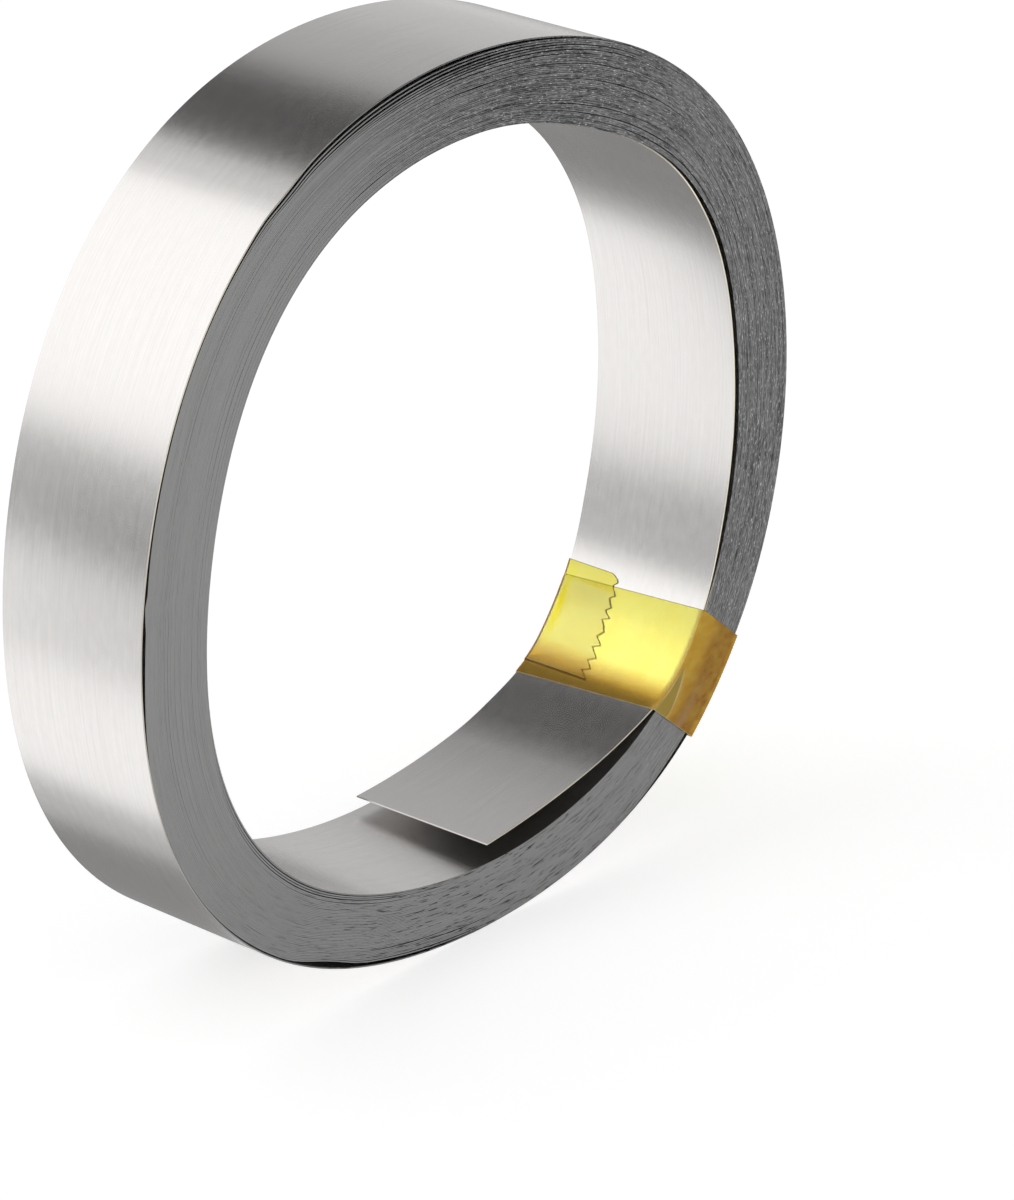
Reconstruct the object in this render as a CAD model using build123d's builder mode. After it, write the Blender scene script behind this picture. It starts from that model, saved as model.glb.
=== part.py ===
import os
from math import asin, cos, degrees, radians, sin

from build123d import *

# A coil of thin nickel strip for joining battery cells, held shut by one loop of yellow film tape.
# It stands on its rim, which handling has pressed a little out of round.
# Lengths are in millimetres and angles in degrees.
# The origin is on the floor under the middle of the coil, Y runs along the coil's axis, the near end
# looks along minus Y, and Z is up. An angle round the coil starts at plus X and rises towards plus Z.

os.makedirs("parts", exist_ok=True)

# The strip
strip_width = 15.0
strip_thick = 0.15
turn_count = 45
bore_diameter = 63.5

# How the coil lies out of round: waves round its rim, and more waves in its bore.
# Each wave has a number of crests, a height, and the angle of one crest.
rim_waves = [(2, 0.45, 21.0), (3, 0.31, 100.0), (4, 0.60, 39.5)]
bore_waves = [(1, 0.34, -66.0), (2, 0.30, 88.0)]

# Where the tape's pull and handling press the bore out, or in where the height is below nothing.
# Each place has a middle angle, half its length in degrees, and a height.
bore_places = [
    (-41.0, 34.0, 0.75),
    (-36.0, 16.0, 0.35),
    (-78.0, 42.0, 0.42),
    (8.0, 22.0, -0.22),
    (64.0, 26.0, -0.45),
]
outline_step = 5.0

# The turns as the ends show them: groups of turns, each lying a little to one side of the next
turns_in_group = 5
group_stagger = 0.08
group_phase = 137.5

# The tape, which goes once round the coil's wall
tape_angle = -41.0
tape_width = 9.5
tape_thick = 0.07
tape_clearance = 0.02

# The tape's torn end, which lies on the first layer in the bore
torn_end_shift = 1.2
torn_end_line = 1.3
torn_end_slant = 1.0
tooth_count = 9
tooth_depth = 0.5

# The strip's inner end, which stands free of the coil beyond the tape
tail_length = 21.7
tail_kink = 17.0
tail_kink_radius = 5.0
tail_bend_radius = 56.0

# The strip's outer end, which the tape holds down
outer_end_angle = -38.0

# Slack places, where the innermost or the outermost turn stands off the turns beside it
inner_slack_start = -30.0
inner_slack_end = 50.0
inner_slack_gap = 0.6
low_slack_start = -132.0
low_slack_end = -102.0
low_slack_gap = 0.6
left_slack_start = 147.0
left_slack_end = 192.0
left_slack_gap = 0.3
top_slack_start = 52.0
top_slack_end = 127.0
top_slack_gap = 0.45
slack_tip_gap = 0.02

# What follows from these sizes
bore_radius = bore_diameter / 2
outer_radius = bore_radius + turn_count * strip_thick
group_count = max(3, round(turn_count / turns_in_group))
outline_angles = [outline_step * step for step in range(round(360 / outline_step))]


def crests(waves, angle):
    """The height that a list of waves adds at an angle."""
    return sum(height * cos(radians(count * (angle - crest))) for count, height, crest in waves)


def swell(place, angle):
    """The height of one pressed place at an angle: all of it at the middle, nothing past its ends."""
    middle, half_length, height = place
    away = abs((angle - middle + 180) % 360 - 180) / half_length
    return height * cos(radians(90 * min(away, 1))) ** 2


def rim_at(angle):
    """The coil's outer radius at an angle."""
    return outer_radius + crests(rim_waves, angle)


def bore_at(angle):
    """The radius of the coil's bore at an angle."""
    pressed = sum(swell(place, angle) for place in bore_places)
    return bore_radius + crests(rim_waves, angle) + crests(bore_waves, angle) + pressed


def spiral_radius(radius_at, end_angle, angle):
    """The radius of a turn that has lost a strip's thickness by the end of its way round."""
    return radius_at(angle) - strip_thick * ((end_angle - angle) % 360) / 360


def depth_below_axis(angle):
    """How far below the coil's axis its outermost turn reaches at an angle."""
    return -spiral_radius(rim_at, outer_end_angle, angle) * sin(radians(angle))


axis_height = max(depth_below_axis(tenth / 10) for tenth in range(-1800, 0))
axis_point = Vector(0, 0, axis_height)
end_view = Plane(origin=axis_point, x_dir=(1, 0, 0), z_dir=(0, -1, 0))


def on_circle(radius, angle):
    """The point of the end view at a radius and an angle round the coil."""
    return Vector(radius * cos(radians(angle)), radius * sin(radians(angle)))


def outwards(angle):
    """The direction straight out from the coil's axis at an angle."""
    return Vector(cos(radians(angle)), 0, sin(radians(angle)))


def along_turn(angle):
    """The direction along a turn, the way the angle rises."""
    return Vector(-sin(radians(angle)), 0, cos(radians(angle)))


def closed_outline(radius_at):
    """A smooth closed line round the coil's axis, in the end view."""
    Spline([on_circle(radius_at(angle), angle) for angle in outline_angles], periodic=True)


def in_wall(share):
    """The radius at an angle, a share of the way through the wall from the bore to the rim."""
    return lambda angle: bore_at(angle) * (1 - share) + rim_at(angle) * share


def spiral_turn(radius_at, end_angle):
    """One closed turn of the spiral in the end view, which counts down from end_angle.

    It starts at its large radius and comes back a strip's thickness in, where a small step closes it."""
    points = [on_circle(radius_at(end_angle), end_angle)]
    for step in range(1, len(outline_angles)):
        angle = end_angle - step * outline_step
        points.append(on_circle(spiral_radius(radius_at, end_angle, angle), angle))
    points.append(on_circle(radius_at(end_angle) - strip_thick, end_angle))
    Spline(points)
    Line(points[-1], points[0])


def slack_place(radius_at, outward, start, end, gap):
    """A long thin opening through the coil: one side follows a turn, the other bulges away by a gap.

    It goes outward (1) or inward (-1) from the turn, and is a little open at its two tips."""
    steps = max(6, round((end - start) / outline_step))
    near_side, far_side = [], []
    for step in range(steps + 1):
        share = step / steps
        angle = start + (end - start) * share
        bulge = slack_tip_gap + (gap - slack_tip_gap) * sin(radians(180 * share)) ** 2
        near_side.append(on_circle(radius_at(angle), angle))
        far_side.append(on_circle(radius_at(angle) + outward * bulge, angle))
    Spline(near_side)
    Line(near_side[-1], far_side[-1])
    Spline(far_side[::-1])
    Line(far_side[0], near_side[0])


def back_of_innermost_turn(angle):
    return spiral_radius(lambda at: bore_at(at) + strip_thick, tail_start, angle) + strip_thick


def inside_of_outermost_turn(angle):
    return spiral_radius(rim_at, outer_end_angle, angle) - strip_thick


# The nickel strip is one piece of metal, from its outer end under the tape to its free inner end.
# The wall is drawn as groups of turns, whose edges show on the ends as shallow steps.
# The outermost and innermost groups follow the strip's spiral, so each has the step where it ends.
tape_half_angle = degrees(asin(tape_width / 2 / bore_at(tape_angle)))
tail_start = tape_angle - tape_half_angle
kink_length = tail_kink_radius * radians(tail_kink)
tail_bend = degrees((tail_length - kink_length) / tail_bend_radius)

with BuildPart() as nickel_strip:
    for group in range(1, group_count - 1):
        aside = group_stagger * sin(radians(group * group_phase))
        with BuildSketch(end_view.offset(-aside)):
            with BuildLine():
                closed_outline(in_wall((group + 1) / group_count))
            make_face()
            with BuildLine():
                closed_outline(in_wall(group / group_count))
            make_face(mode=Mode.SUBTRACT)
        extrude(amount=strip_width / 2, both=True)

    with BuildSketch(end_view):
        with BuildLine():
            spiral_turn(rim_at, outer_end_angle)
        make_face()
        with BuildLine():
            closed_outline(in_wall(1 - 1 / group_count))
        make_face(mode=Mode.SUBTRACT)
    extrude(amount=strip_width / 2, both=True)

    with BuildSketch(end_view):
        with BuildLine():
            closed_outline(in_wall(1 / group_count))
        make_face()
        with BuildLine():
            spiral_turn(lambda angle: bore_at(angle) + strip_thick, tail_start)
        make_face(mode=Mode.SUBTRACT)
    extrude(amount=strip_width / 2, both=True)

    with BuildSketch(end_view):
        with BuildLine():
            slack_place(back_of_innermost_turn, 1, inner_slack_start, inner_slack_end, inner_slack_gap)
        make_face()
        with BuildLine():
            slack_place(inside_of_outermost_turn, -1, low_slack_start, low_slack_end, low_slack_gap)
        make_face()
        with BuildLine():
            slack_place(inside_of_outermost_turn, -1, left_slack_start, left_slack_end, left_slack_gap)
        make_face()
        with BuildLine():
            slack_place(inside_of_outermost_turn, -1, top_slack_start, top_slack_end, top_slack_gap)
        make_face()
    extrude(amount=strip_width, both=True, mode=Mode.SUBTRACT)

    with BuildSketch(end_view):
        with BuildLine():
            tail_root = on_circle(bore_at(tail_start) + strip_thick / 2, tail_start)
            down_the_strip = on_circle(1, tail_start - 90)
            kink = JernArc(tail_root, down_the_strip, tail_kink_radius, -tail_kink)
            JernArc(kink @ 1, kink % 1, tail_bend_radius, -tail_bend)
        trace(line_width=strip_thick)
    extrude(amount=strip_width / 2, both=True)

nickel_strip.part.label = "nickel_strip"
export_step(nickel_strip.part, "parts/nickel_strip.step")


# The tape is one piece too: a loop round the coil's wall with its long edges parallel, and the torn
# end on top of its first layer in the bore.
tape_inside_half = strip_width / 2 + group_stagger + tape_clearance
tape_outside_half = tape_inside_half + tape_thick
tape_view = Plane(origin=axis_point, x_dir=along_turn(tape_angle), z_dir=-outwards(tape_angle))


def off_the_rim(distance):
    return lambda angle: rim_at(angle) + distance


def off_the_bore(distance):
    return lambda angle: bore_at(angle) - distance


def torn_edge():
    """The zigzag that the dispenser's teeth leave, from the tape's lower edge to its upper one."""
    points = []
    for step in range(2 * tooth_count + 1):
        share = step / (2 * tooth_count) - 0.5
        tooth = tooth_depth if step % 2 else 0
        points.append((share * tape_width, torn_end_line + share * torn_end_slant - tooth))
    return points


with BuildPart() as torn_end:
    with BuildSketch(end_view):
        with BuildLine():
            closed_outline(off_the_bore(tape_clearance + tape_thick))
        make_face()
        with BuildLine():
            closed_outline(off_the_bore(tape_clearance + 2 * tape_thick))
        make_face(mode=Mode.SUBTRACT)
    extrude(amount=tape_outside_half, both=True)
    with BuildSketch(tape_view):
        with Locations((torn_end_shift, 0)):
            with BuildLine():
                zigzag = Polyline(torn_edge())
                far_corners = [(tape_width / 2, strip_width), (-tape_width / 2, strip_width)]
                Polyline(zigzag @ 1, *far_corners, zigzag @ 0)
            make_face()
    extrude(amount=-outer_radius, mode=Mode.INTERSECT)

with BuildPart() as tape_band:
    with BuildSketch(end_view):
        with BuildLine():
            closed_outline(off_the_rim(tape_clearance + tape_thick))
        make_face()
        with BuildLine():
            closed_outline(off_the_bore(tape_clearance + tape_thick))
        make_face(mode=Mode.SUBTRACT)
    extrude(amount=tape_outside_half, both=True)
    with BuildSketch(end_view):
        with BuildLine():
            closed_outline(off_the_rim(tape_clearance))
        make_face()
        with BuildLine():
            closed_outline(off_the_bore(tape_clearance))
        make_face(mode=Mode.SUBTRACT)
    extrude(amount=tape_inside_half, both=True, mode=Mode.SUBTRACT)
    with BuildSketch(tape_view):
        Rectangle(tape_width, 2 * strip_width)
    extrude(amount=-2 * outer_radius, mode=Mode.INTERSECT)
    add(torn_end.part)

tape_band.part.label = "tape_band"
export_step(tape_band.part, "parts/tape_band.step")
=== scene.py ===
# %% [markdown]
# # A coil of nickel strip, held by a loop of film tape
#
# The object is about ten metres of thin nickel strip, wound into a flat ring that stands on its rim.
# A loop of yellow tape round the ring's wall keeps it shut, and the strip's inner end springs free.
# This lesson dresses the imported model: it winds the strip turn by turn, wraps the tape, and lights
# both so that the satin metal and the clear film read as they do in the photograph.

from math import cos, radians, sin

import bpy
import numpy as np
from mathutils import Matrix, Vector


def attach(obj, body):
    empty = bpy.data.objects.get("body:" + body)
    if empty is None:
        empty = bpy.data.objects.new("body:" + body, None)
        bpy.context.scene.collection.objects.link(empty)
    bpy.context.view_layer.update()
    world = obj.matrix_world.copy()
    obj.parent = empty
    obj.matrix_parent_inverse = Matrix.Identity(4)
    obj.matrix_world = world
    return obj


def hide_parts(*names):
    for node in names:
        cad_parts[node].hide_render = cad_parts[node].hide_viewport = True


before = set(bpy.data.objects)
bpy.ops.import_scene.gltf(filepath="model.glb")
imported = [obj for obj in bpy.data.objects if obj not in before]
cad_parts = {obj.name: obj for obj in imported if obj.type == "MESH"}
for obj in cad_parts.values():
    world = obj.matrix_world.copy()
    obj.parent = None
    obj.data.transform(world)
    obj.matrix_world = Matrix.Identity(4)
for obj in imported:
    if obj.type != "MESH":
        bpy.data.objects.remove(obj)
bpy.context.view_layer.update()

# %% [markdown]
# ## The camera
#
# The photograph looks down on the ring from the left of its near end, with a long lens. The numbers
# come from fitting the ring's four visible edges: they give the direction of the coil's axis, the
# distance and the lens. The camera isn't aimed at the ring's middle, because in the photograph the
# ring sits up and to the left, so the aim is a point beside it instead of a lens shift.

# %% Camera
mm = 0.001
image_width, image_height = 1014, 1200
focal_pixels = 5477.5
camera_azimuth = -48.39
camera_elevation = 23.37
outer_radius = 38.5 * mm
strip_width = 15.0 * mm
near_y = -strip_width / 2


def view_axes(azimuth, elevation):
    """The camera's right, up and backward directions, looking along +Y at azimuth 0."""
    turn, rise = radians(azimuth), radians(elevation)
    back = Vector((sin(turn) * cos(rise), -cos(turn) * cos(rise), sin(rise)))
    right = Vector((cos(turn), sin(turn), 0))
    return right, back.cross(right), back


# The near face's middle as the camera sees it: to the right, up and away, in outer radii.
middle_right, middle_up, middle_away = -0.0511, 0.1924, 11.2834
camera_right, camera_up, camera_back = view_axes(camera_azimuth, camera_elevation)
print("the camera looks along", tuple(round(-part, 3) for part in camera_back))

# %% [markdown]
# ## The outline of the coil
#
# The real coil isn't a true circle: handling has pressed it a little flat where it stands, and it
# bulges beside that. A few waves round the circle describe this better than traced points, because
# they stay smooth and can be added to any turn. The bore has a little more of two of them.

# %% Outline
turn_count = 45
strip_thick = 0.15 * mm
bore_radius = outer_radius - turn_count * strip_thick
rim_waves = {2: (0.45, 21.0), 3: (0.31, 100.0), 4: (0.60, 39.5)}
bore_waves = {1: (0.34, -66.0), 2: (0.30, 88.0)}


def waves(angle, table):
    """Metres out of round at an angle, from a number of crests, their height in mm and one crest's angle."""
    return mm * sum(
        height * np.cos(np.radians(crests * (angle - peak))) for crests, (height, peak) in table.items())


def window(angle, middle, half):
    """1 at the middle of a place, falling smoothly to 0 at its ends."""
    away = np.abs((angle - middle + 180) % 360 - 180) / half
    return np.where(away < 1, np.cos(np.minimum(away, 1) * np.pi / 2) ** 2, 0)


def places(angle, table):
    """What a list of places adds, each a middle angle, a half length in degrees and a height."""
    return sum(height * window(angle, middle, half) for middle, half, height in table)


# Where the bore is pressed out, by the tape and beside it, or lies in, with heights in millimetres.
bore_places = [
    (-41.0, 34.0, 0.75), (-36.0, 16.0, 0.35), (-78.0, 42.0, 0.42), (8.0, 22.0, -0.22), (64.0, 26.0, -0.45),
]


def outline_radius(angle):
    return outer_radius + waves(angle, rim_waves)


def inside_radius(angle):
    pressed = mm * places(angle, bore_places)
    return bore_radius + waves(angle, rim_waves) + waves(angle, bore_waves) + pressed


# The outermost turn's face lies a hair outside the outline, so the coil's middle is that much higher.
turn_outside_outline = 0.03 * mm
round_angles = np.linspace(-180, 180, 1440)
rim_heights = outline_radius(round_angles) * np.sin(np.radians(round_angles))
centre_height = turn_outside_outline - float(np.min(rim_heights))
print("the coil's middle stands", round(centre_height / mm, 2), "mm high")

# %% Place the camera
def placed(name, data):
    """A new object in the scene."""
    new_object = bpy.data.objects.new(name, data)
    bpy.context.scene.collection.objects.link(new_object)
    return new_object


near_middle = Vector((0, near_y, centre_height))
camera_data = bpy.data.cameras.new("camera")
camera_data.sensor_fit = "AUTO"
camera_data.sensor_width = 36.0
camera_data.lens = focal_pixels / max(image_width, image_height) * camera_data.sensor_width
camera_data.clip_start = 0.01
camera_data.clip_end = 20
camera = placed("camera", camera_data)
seen_offset = camera_right * middle_right + camera_up * middle_up - camera_back * middle_away
camera.location = near_middle - seen_offset * outer_radius
camera.rotation_euler = Matrix((camera_right, camera_up, camera_back)).transposed().to_euler()
bpy.context.scene.camera = camera
print("camera at", tuple(round(part, 4) for part in camera.location), "lens", round(camera_data.lens, 1))

# %% [markdown]
# ## Where the turns stand apart
#
# A coil of springy strip is never wound evenly. In the photograph the innermost turn stands off the
# pack on the right, the outermost turn is slack at the left, over the top and low down, and all over
# the end face short dark dashes show where two turns part. Each place is one number of turns from the
# inside, a middle angle, a half length in degrees and a gap, so the pack can be built from a list.

# %% Slack places
# Each place is the turn that stands off the one inside it, the middle angle, the half length and the gap.
inner_gaps = [(2, 8.0, 48.0, 0.52), (2, 32.0, 24.0, 0.18), (2, -16.0, 20.0, 0.20), (5, 42.0, 34.0, 0.10)]
outer_gaps = [
    (45, -179.0, 15.0, 0.24), (45, -194.0, 30.0, 0.13), (45, -184.5, 1.8, -0.24), (45, -130.0, 16.0, 0.10),
    (45, -119.0, 8.0, 0.36), (45, -109.0, 19.0, 0.28), (45, -95.0, 12.0, 0.08), (45, -48.0, 15.0, 0.26),
    (44, -96.0, 14.0, 0.07), (44, -108.0, 24.0, 0.05), (40, -95.0, 11.0, 0.06), (38, -104.0, 12.0, 0.06),
    (45, 98.0, 36.0, 0.22), (45, 124.0, 30.0, 0.15), (44, 108.0, 38.0, 0.22), (43, 102.0, 36.0, 0.19),
    (42, 90.0, 42.0, 0.13), (41, 94.0, 34.0, 0.08), (40, 84.0, 36.0, 0.08), (38, 90.0, 30.0, 0.05),
]
low_gaps = [
    (2, -138.0, 40.0, 0.08), (3, -134.0, 38.0, 0.05), (4, -126.0, 36.0, 0.07), (6, -118.0, 30.0, 0.04),
]
top_gaps = [
    (8, 56.0, 30.0, 0.07), (12, 66.0, 34.0, 0.06), (16, 40.0, 30.0, 0.05), (20, 84.0, 28.0, 0.07),
    (25, 60.0, 26.0, 0.06), (30, 92.0, 22.0, 0.06), (33, 70.0, 26.0, 0.05), (35, 30.0, 30.0, 0.04),
]
shortest_dash, longest_dash = 1.5, 5.0
random = np.random.default_rng(7)


def dashes(count, first, last, least, most):
    """Short places at random turns between two angles, with gaps between two widths."""
    found = []
    for _ in range(count):
        turn = int(random.integers(3, turn_count - 1))
        middle = random.uniform(first, last)
        half_length = random.uniform(shortest_dash, longest_dash)
        found.append((turn, middle, half_length, random.uniform(least, most)))
    return found


all_gaps = inner_gaps + outer_gaps + low_gaps + top_gaps
all_gaps += dashes(36, first=-135, last=-55, least=0.012, most=0.03)
all_gaps += dashes(50, first=15, last=115, least=0.015, most=0.035)
print(len(all_gaps), "places where turns part")

# %% [markdown]
# ### Where each turn lies
#
# At any angle the wall has a fixed room from the bore to the rim. The gaps there take some of it, and
# the turns share the rest evenly: that share is the pitch. So a turn's place is the bore, plus its
# number of pitches, plus the gaps that it has passed, and the whole coil follows from one formula.

# %% Where each turn lies
seam_angle = -40.0
outer_end_angle = -38.0
free_thick = 0.14 * mm
last_turn_proud = 0.06 * mm
end_turn = turn_count + (outer_end_angle - seam_angle) / 360


def turn_share(angle):
    """How far round its turn the strip is at an angle, from 0 at the seam."""
    return ((angle - seam_angle) % 360) / 360


def pressed_outwards(angle, turns, middle, half, height):
    """Metres that one edge of the strip is pressed out beside the tape, less and less with each turn."""
    return height * mm * window(angle, middle, half) * np.clip(1 - turns / turn_count, 0, 1)


def spare_room(angle):
    """Metres of the wall at an angle that are gaps."""
    return sum(gap * mm * window(angle, middle, half) for _, middle, half, gap in all_gaps)


def outside_limit(angle):
    """The radius that the last turn's bore-side face reaches."""
    return outline_radius(angle) - free_thick + last_turn_proud


def pitch_at(angle):
    """The step from one turn to the next at an angle, where the turns lie tight."""
    return (outside_limit(angle) - inside_radius(angle) - spare_room(angle)) / end_turn


def inner_face_radius(turns, angle):
    """The radius of the strip's bore-side face, a number of turns from its inner end, at an angle."""
    passed = np.zeros_like(angle)
    for turn, middle, half, gap in all_gaps:
        gap_is_passed = turns >= turn - 1.5 + turn_share(middle)
        passed = passed + np.where(gap_is_passed, gap * mm * window(angle, middle, half), 0)
    return inside_radius(angle) + pitch_at(angle) * turns + passed


print("narrowest pitch", round(float(pitch_at(round_angles).min()) / mm, 4), "mm")

# %% [markdown]
# ## The strip
#
# The metal is one strip, so it is one mesh: a small flat section, with its slit corners taken off,
# carried along a spiral of 45 turns. Modelling every turn costs some faces but gives the end faces
# their real lines, which no texture does when the light grazes them. The section drifts a few
# hundredths of a millimetre along the axis as it goes, as wound strip does.

# %% Path of the wound part
steps_per_turn = 240
packed_corner, open_corner = 0.016 * mm, 0.045 * mm
between_turns = 0.003 * mm

# How many turns are free of the pack at the inside and the outside, and over how much that changes.
free_inside, free_outside, change_over = 0.95, 1.1, 0.2

# How far the turns wander along the axis: a quick wander over some degrees, and a slow one over turns.
calm_wander, rough_wander, wander_degrees = 0.010 * mm, 0.030 * mm, 60
slow_wander, slow_wander_turns = 0.03 * mm, 4.0

# Where the end face in the photograph is dark and grainy, and where painted shade darkens short gaps
# between turns: the middle angle, the half length and the strength.
rough_places = [(80, 44, 1.0), (38, 50, 0.7), (-14, 58, 1.0)]
gap_shade_places = [(-90, 62, 0.9), (62, 60, 0.8), (0, 60, 0.5)]
gap_shade_elsewhere = 0.10


def smooth_noise(positions, spacing, seed):
    """Smooth random values of about 1 along a line, with a new value each spacing."""
    source = np.random.default_rng(seed)
    values = source.normal(size=int(np.max(positions) / spacing) + 3)
    place = positions / spacing
    low = np.floor(place).astype(int)
    share = place - low
    share = share * share * (3 - 2 * share)
    return values[low] * (1 - share) + values[low + 1] * share


def roughly_wound(angle):
    """1 where the end face is dark and grainy, at the top and right, and 0 elsewhere."""
    return np.clip(places(angle, rough_places), 0, 1)


def gap_shade(angle):
    """1 where painted shade darkens short gaps between turns on the end face, low down, and less elsewhere.
    """
    return np.clip(gap_shade_elsewhere + places(angle, gap_shade_places), 0, 1)


wound = np.linspace(0, end_turn, int(steps_per_turn * end_turn))
wound_angle = seam_angle + 360 * wound
wound_inner = inner_face_radius(wound, wound_angle)
free_part = np.clip((free_inside - wound) / change_over, 0, 1)
free_part += np.clip((wound - (turn_count - free_outside)) / change_over, 0, 1)
packed_thick = pitch_at(wound_angle) - between_turns
wound_thick = packed_thick + (free_thick - packed_thick) * free_part / 2
wound_corner = packed_corner + (open_corner - packed_corner) * free_part
wander = calm_wander + (rough_wander - calm_wander) * roughly_wound(wound_angle)
wound_aside = wander * smooth_noise(wound * 360, wander_degrees, seed=3)
wound_aside += slow_wander * smooth_noise(wound, slow_wander_turns, seed=5)
wound_length = float(np.sum(wound_inner) * 2 * np.pi / steps_per_turn)
print(len(wound), "steps of wound strip,", round(wound_length, 2), "m")

# %% [markdown]
# ## The free inner end
#
# Under the tape the strip leaves the pack at a soft kink, and it runs on nearly straight to a square
# cut. Its near edge kinks sooner and more than its far edge, so the tail is twisted a little. Each edge
# gets its own kink and bend, and the rings of the mesh join the two.

# %% Path of the tail
tail_length = 27.0 * mm
tail_steps = 160
last_bend_starts = 15.0 * mm
near_tail_shape = {
    "kink_starts": 1.5 * mm, "kink_ends": 5.5 * mm, "kink": radians(16.3),
    "first_bend": 52.0 * mm, "last_bend": 87.0 * mm,
}
far_tail_shape = {
    "kink_starts": 2.4 * mm, "kink_ends": 5.9 * mm, "kink": radians(7.6),
    "first_bend": 26.8 * mm, "last_bend": 68.2 * mm,
}

# Where the tape's pull presses each edge out: the middle angle, the half length and the height.
near_press, far_press = (-42.0, 8.0, 0.16), (-47.0, 12.0, 0.34)


def tail_line(start_radius, shape):
    """Points of the tail's bore-side face in the end view, from its root to its tip."""
    root = radians(seam_angle)
    point = np.array([start_radius * cos(root), start_radius * sin(root)])
    heading = root - np.pi / 2
    step = tail_length / tail_steps
    found = [point]
    for number in range(tail_steps):
        run = (number + 0.5) * step
        if run < shape["kink_starts"]:
            turn = 1 / start_radius
        elif run < shape["kink_ends"]:
            turn = 1 / start_radius + shape["kink"] / (shape["kink_ends"] - shape["kink_starts"])
        else:
            turn = 1 / shape["first_bend" if run < last_bend_starts else "last_bend"]
        heading -= turn * step
        point = point + step * np.array([cos(heading), sin(heading)])
        found.append(point)
    return np.array(found)


def pressed_line(line, press):
    """The line with a place of it pressed out from the coil's axis."""
    radius, angle = np.hypot(line[:, 0], line[:, 1]), np.degrees(np.arctan2(line[:, 1], line[:, 0]))
    return line * (1 + pressed_outwards(angle, 0, *press) / radius)[:, None]


root_radius = float(inner_face_radius(np.array([0.0]), np.array([seam_angle]))[0])
near_tail = pressed_line(tail_line(root_radius, near_tail_shape), near_press)
far_tail = pressed_line(tail_line(root_radius, far_tail_shape), far_press)
print("root radius", round(root_radius / mm, 2))
for name, line in (("near", near_tail), ("far", far_tail)):
    tip_radius, tip_angle = np.hypot(*line[-1]), np.degrees(np.arctan2(line[-1][1], line[-1][0]))
    print(name, "edge ends at radius", round(float(tip_radius) / mm, 2), "angle", round(float(tip_angle), 1))


# %% [markdown]
# ### From the path to a mesh
#
# At each step of the path stands one ring of eight points, the strip's section with its four slit
# corners taken off. Neighbouring rings are joined by quads, and the two ends are closed, so the strip
# is one closed mesh. The rings of the tail come first, then those of the wound part.

# %% Rings of the strip
def ring(near_point, far_point, near_out, far_out, thick, aside, corner):
    """One section of the strip. The points are on its bore-side face, and the outs point off the bore."""
    half = strip_width / 2
    across = [(0, -half + corner), (0, half - corner), (corner, half), (thick - corner, half),
              (thick, half - corner), (thick, -half + corner), (thick - corner, -half), (corner, -half)]
    points = []
    for rise, y in across:
        share = y / strip_width + 0.5
        spot = near_point * (1 - share) + far_point * share
        out = near_out * (1 - share) + far_out * share
        spot = spot + out * rise
        points.append((spot[0], y + aside, spot[1] + centre_height))
    return points


def off_the_bore(line):
    """Unit directions away from the bore beside each point of a line that runs clockwise."""
    along = np.gradient(line, axis=0)
    along /= np.linalg.norm(along, axis=1)[:, None]
    return np.stack([-along[:, 1], along[:, 0]], axis=1)


rings = []
near_outs, far_outs = off_the_bore(near_tail), off_the_bore(far_tail)
tail_aside = float(wound_aside[0])
for k in range(tail_steps, 0, -1):
    points, outs = (near_tail[k], far_tail[k]), (near_outs[k], far_outs[k])
    rings.append(ring(*points, *outs, free_thick, tail_aside, open_corner))

# At one spot the last turns' near edges are knocked in, and a little out beside it.
nicked_turns = 4
nick_places = [(124, 5, 0.12), (129, 4, -0.05)]
nicked = np.where(wound > turn_count - nicked_turns, mm * places(wound_angle, nick_places), 0)
for k, angle in enumerate(np.radians(wound_angle)):
    out = np.array([cos(angle), sin(angle)])
    near_radius = wound_inner[k] - nicked[k] + pressed_outwards(wound_angle[k], wound[k], *near_press)
    far_radius = wound_inner[k] + pressed_outwards(wound_angle[k], wound[k], *far_press)
    thick, aside, corner = float(wound_thick[k]), float(wound_aside[k]), float(wound_corner[k])
    rings.append(ring(out * near_radius, out * far_radius, out, out, thick, aside, corner))
ring_size = len(rings[0])
print(len(rings), "rings of", ring_size)


# %% Mesh of the strip
def swept_mesh(name, ring_list):
    """A closed tube of quads through rings of equal size, with a face across each end."""
    size = len(ring_list[0])
    verts = np.array(ring_list).reshape(-1, 3)
    faces = []
    for k in range(len(ring_list) - 1):
        for side in range(size):
            a, b = k * size + side, k * size + (side + 1) % size
            faces.append((a, b, b + size, a + size))
    faces.append(tuple(range(size))[::-1])
    faces.append(tuple(range(len(verts) - size, len(verts))))
    mesh = bpy.data.meshes.new(name)
    mesh.from_pydata(verts.tolist(), [], faces)
    return mesh


strip_mesh = swept_mesh("nickel_strip_wound", rings)
face_count = len(strip_mesh.polygons)
strip_mesh.polygons.foreach_set("use_smooth", [True] * face_count)

# The two wide sides of each ring and the caps on the ends show rolled metal, and the rest is slit edge.
rolled_metal, slit_metal = 0, 1
rolled_sides = (0, 4)
side_count = (len(rings) - 1) * ring_size
rolled_faces = [face >= side_count or face % ring_size in rolled_sides for face in range(face_count)]
material_index = [rolled_metal if rolled else slit_metal for rolled in rolled_faces]
strip_mesh.polygons.foreach_set("material_index", material_index)
strip_mesh.set_sharp_from_angle(angle=radians(25))
strip = placed("nickel_strip_wound", strip_mesh)
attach(strip, "root")
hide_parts("nickel_strip")
print("strip faces", face_count)
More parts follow.
